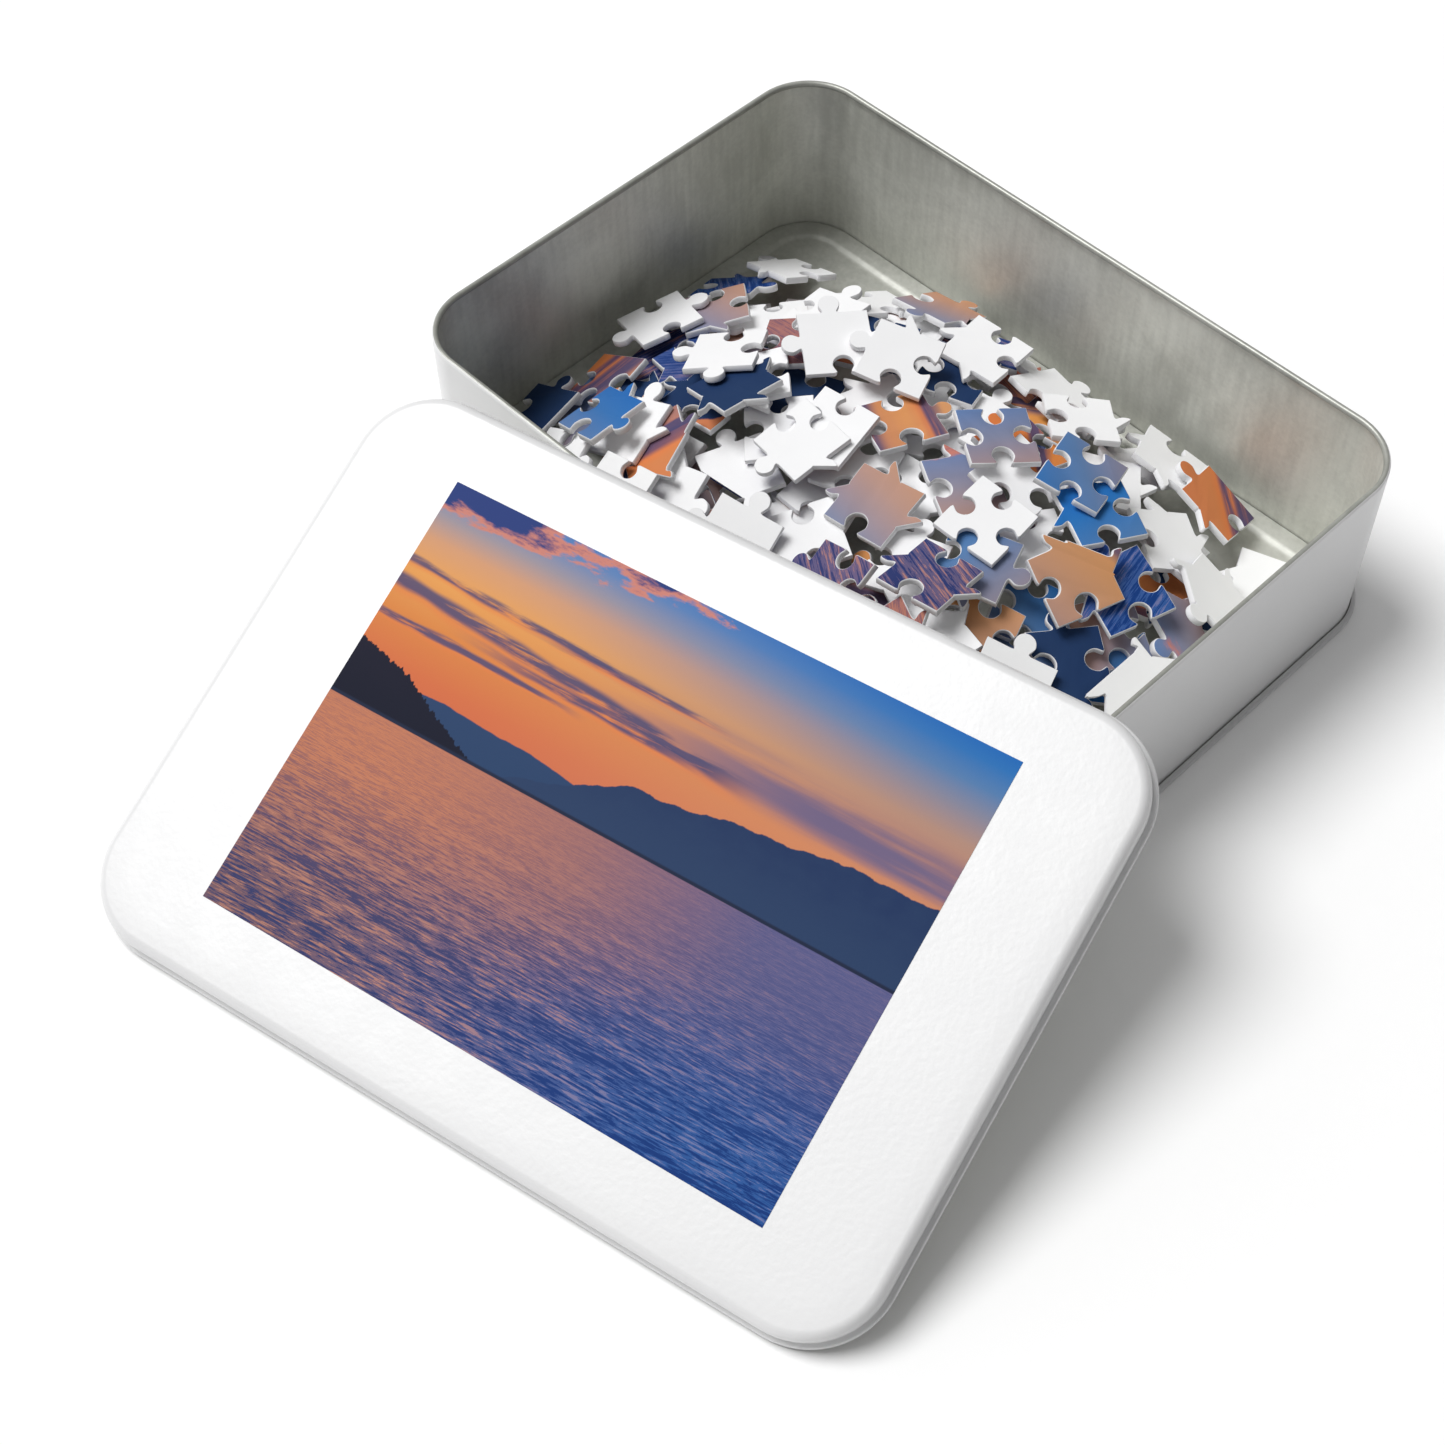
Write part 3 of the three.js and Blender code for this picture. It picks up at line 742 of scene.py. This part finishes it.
def mark_cad_pieces(heap):
    """Puts the CAD's puzzle pieces on the heap's maps and returns their outlines."""
    outlines = []
    fixed = frame["record"]["behaviour"]["bodies"]["tin"]
    for node in sorted(n for n in frame["nodes"] if n.startswith("puzzle_piece_")):
        outline, place = cad_plate(node)
        outlines.append(outline)
        cells = heap.under([place @ Vector((*p, 0)) for p in inset(outline, -CAD_MARGIN)])
        up, middle = place.to_3x3().col[2], place.translation
        under = middle.z - ((heap.x[cells] - middle.x) * up.x + (heap.y[cells] - middle.y) * up.y) / up.z
        heap.mark(cells, under, CARD / up.z)
        if node not in fixed:
            heap.loose[cells] = True
    return outlines


def make_rest_of_heap(chance):
    heap = Heap()
    outlines = mark_cad_pieces(heap)
    groups = {}

    def try_piece(x, y):
        spin = Matrix.Rotation(chance.uniform(0, 2 * math.pi), 2)
        outline = [spin @ p for p in chance.choice(outlines)]
        return outline, heap.under([p + Vector((x, y)) for p in inset(outline, -MARGIN)])

    def lay(outline, x, y, z, a, b):
        """Adds a piece whose underside is z high at (x, y) and has the slopes a along X and b along Y."""
        up = Vector((-a, -b, 1)).normalized()
        across = Vector((1, 0, a)).normalized()
        turn = Matrix((across, up.cross(across), up)).transposed().to_4x4()
        slot = chance.choice(HEAP_KINDS)
        if slot not in groups:
            work = bmesh.new()
            groups[slot] = (work, work.loops.layers.uv.new("picture"))
        fill_piece(*groups[slot], outline, Matrix.Translation((x, y, z)) @ turn, slot != "card_back",
                   spot_for(slot, chance), chance.uniform(0, 2 * math.pi))

    # in the gaps between the CAD's pieces, each as high as it goes under them
    for _ in range(GAP_TRIES):
        rows, columns = np.nonzero(heap.open)
        pick = chance.randrange(len(rows))
        x, y = (where[rows[pick], columns[pick]] + chance.uniform(-NEARBY, NEARBY) * MM
                for where in (heap.x, heap.y))
        outline, cells = try_piece(x, y)
        if cells is None or not heap.inside[cells].all() or heap.open[cells].mean() < LEAST_USE:
            continue
        a, b, roof = heap.settle(cells, x, y, heap.roof, -1)
        thick = CARD * math.sqrt(1 + a * a + b * b)
        z = roof - CLEARANCE - thick
        under = z + a * (heap.x[cells] - x) + b * (heap.y[cells] - y)
        if under.min() < FLOOR_LEVEL:
            continue
        heap.mark(cells, under, thick)
        lay(outline, x, y, z, a, b)
    # on what is there already, out to the walls, wherever the heap is still low
    for _ in range(TOP_TRIES):
        best = None
        for _ in range(CHOICES):
            x, y = chance.uniform(TIN_LOW.x, TIN_HIGH.x), chance.uniform(TIN_LOW.y, TIN_HIGH.y)
            outline, cells = try_piece(x, y)
            if cells is None or not heap.spread[cells].all() or heap.loose[cells].any():
                continue
            want = (heap.wanted[cells] - heap.top[cells]).mean()
            if want > LEAST_RISE and (best is None or want > best[0]):
                best = want, x, y, outline, cells
        if best is None:
            continue
        _, x, y, outline, cells = best
        a, b, top = heap.settle(cells, x, y, heap.top, 1)
        thick = CARD * math.sqrt(1 + a * a + b * b)
        z = top + CLEARANCE
        under = z + a * (heap.x[cells] - x) + b * (heap.y[cells] - y)
        if (under + thick > heap.limit[cells]).any():
            continue
        heap.mark(cells, under, thick)
        lay(outline, x, y, z, a, b)
    for slot, (work, _) in groups.items():
        piece = finish_pieces("buried_" + slot, work)
        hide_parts("buried_pieces")
        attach(piece, "tin")


# ---- Floor and light ----

KEY_WAY = (0.46, 0.26, -1.0)            # the way the key light shines
KEY_LIGHT = 2.35
KEY_SPREAD = 31                         # degrees across, which sets how soft the shadows are
BRIGHT_WAY = (-0.8, -0.45, 0.4)         # towards the brightest part of the studio's walls
WALL_LIGHT = ((-0.7, 0.0), (0.9, 0.54))  # (share of the way there, strength) where dim and where bright
FLOOR_REACH = 40                        # metres from the middle to the floor's edge
FLOOR_DROP = 0.2 * MM                   # below the surface that the set stands on
FLOOR_GLOW = 0.06


def make_floor():
    work = bmesh.new()
    bmesh.ops.create_grid(work, x_segments=8, y_segments=8, size=FLOOR_REACH)
    mesh = bpy.data.meshes.new("floor")
    work.to_mesh(mesh)
    floor = link("floor", mesh)
    floor.location.z = -FLOOR_DROP
    s = Shader("floor_paper", roughness=0.9)
    s.colour(s.mix(s.noise(s.position(), scale=3), linear(251, 251, 251), linear(253, 253, 253)))
    s.bsdf.inputs["Emission Color"].default_value = (1, 1, 1, 1)
    s.bsdf.inputs["Emission Strength"].default_value = FLOOR_GLOW
    mesh.materials.append(s.material)


def make_light():
    """A soft key light, and studio walls that are bright on its side and overhead, dim opposite."""
    sun = bpy.data.lights.new("key", "SUN")
    sun.energy, sun.angle = KEY_LIGHT, math.radians(KEY_SPREAD)
    key = bpy.data.objects.new("key", sun)
    key.rotation_euler = Vector(KEY_WAY).to_track_quat("-Z", "Y").to_euler()
    bpy.context.scene.collection.objects.link(key)
    world = bpy.data.worlds.new("studio")
    world.use_nodes = True
    nodes, links = world.node_tree.nodes, world.node_tree.links
    way = nodes.new("ShaderNodeVectorMath")
    way.operation = "DOT_PRODUCT"
    way.inputs[1].default_value = Vector(BRIGHT_WAY).normalized()
    links.new(nodes.new("ShaderNodeTexCoord").outputs["Generated"], way.inputs[0])
    fall = nodes.new("ShaderNodeMapRange")
    for end, (place, strength) in zip(("Min", "Max"), WALL_LIGHT):
        fall.inputs["From " + end].default_value = place
        fall.inputs["To " + end].default_value = strength
    links.new(way.outputs["Value"], fall.inputs["Value"])
    # what the camera itself sees past the floor's far edge is plain white
    rays = nodes.new("ShaderNodeLightPath")
    seen = nodes.new("ShaderNodeMix")
    links.new(rays.outputs["Is Camera Ray"], seen.inputs["Factor"])
    links.new(fall.outputs[0], seen.inputs["A"])
    seen.inputs["B"].default_value = 1
    links.new(seen.outputs["Result"], nodes["Background"].inputs[1])
    nodes["Background"].inputs[0].default_value = (1, 1, 1, 1)
    bpy.context.scene.world = world
    bpy.context.scene.view_settings.view_transform = "Standard"


place_camera()
make_floor()
make_light()
make_tin()
make_lid()
make_top_pieces(random.Random(SEED))
make_rest_of_heap(random.Random(SEED + 1))
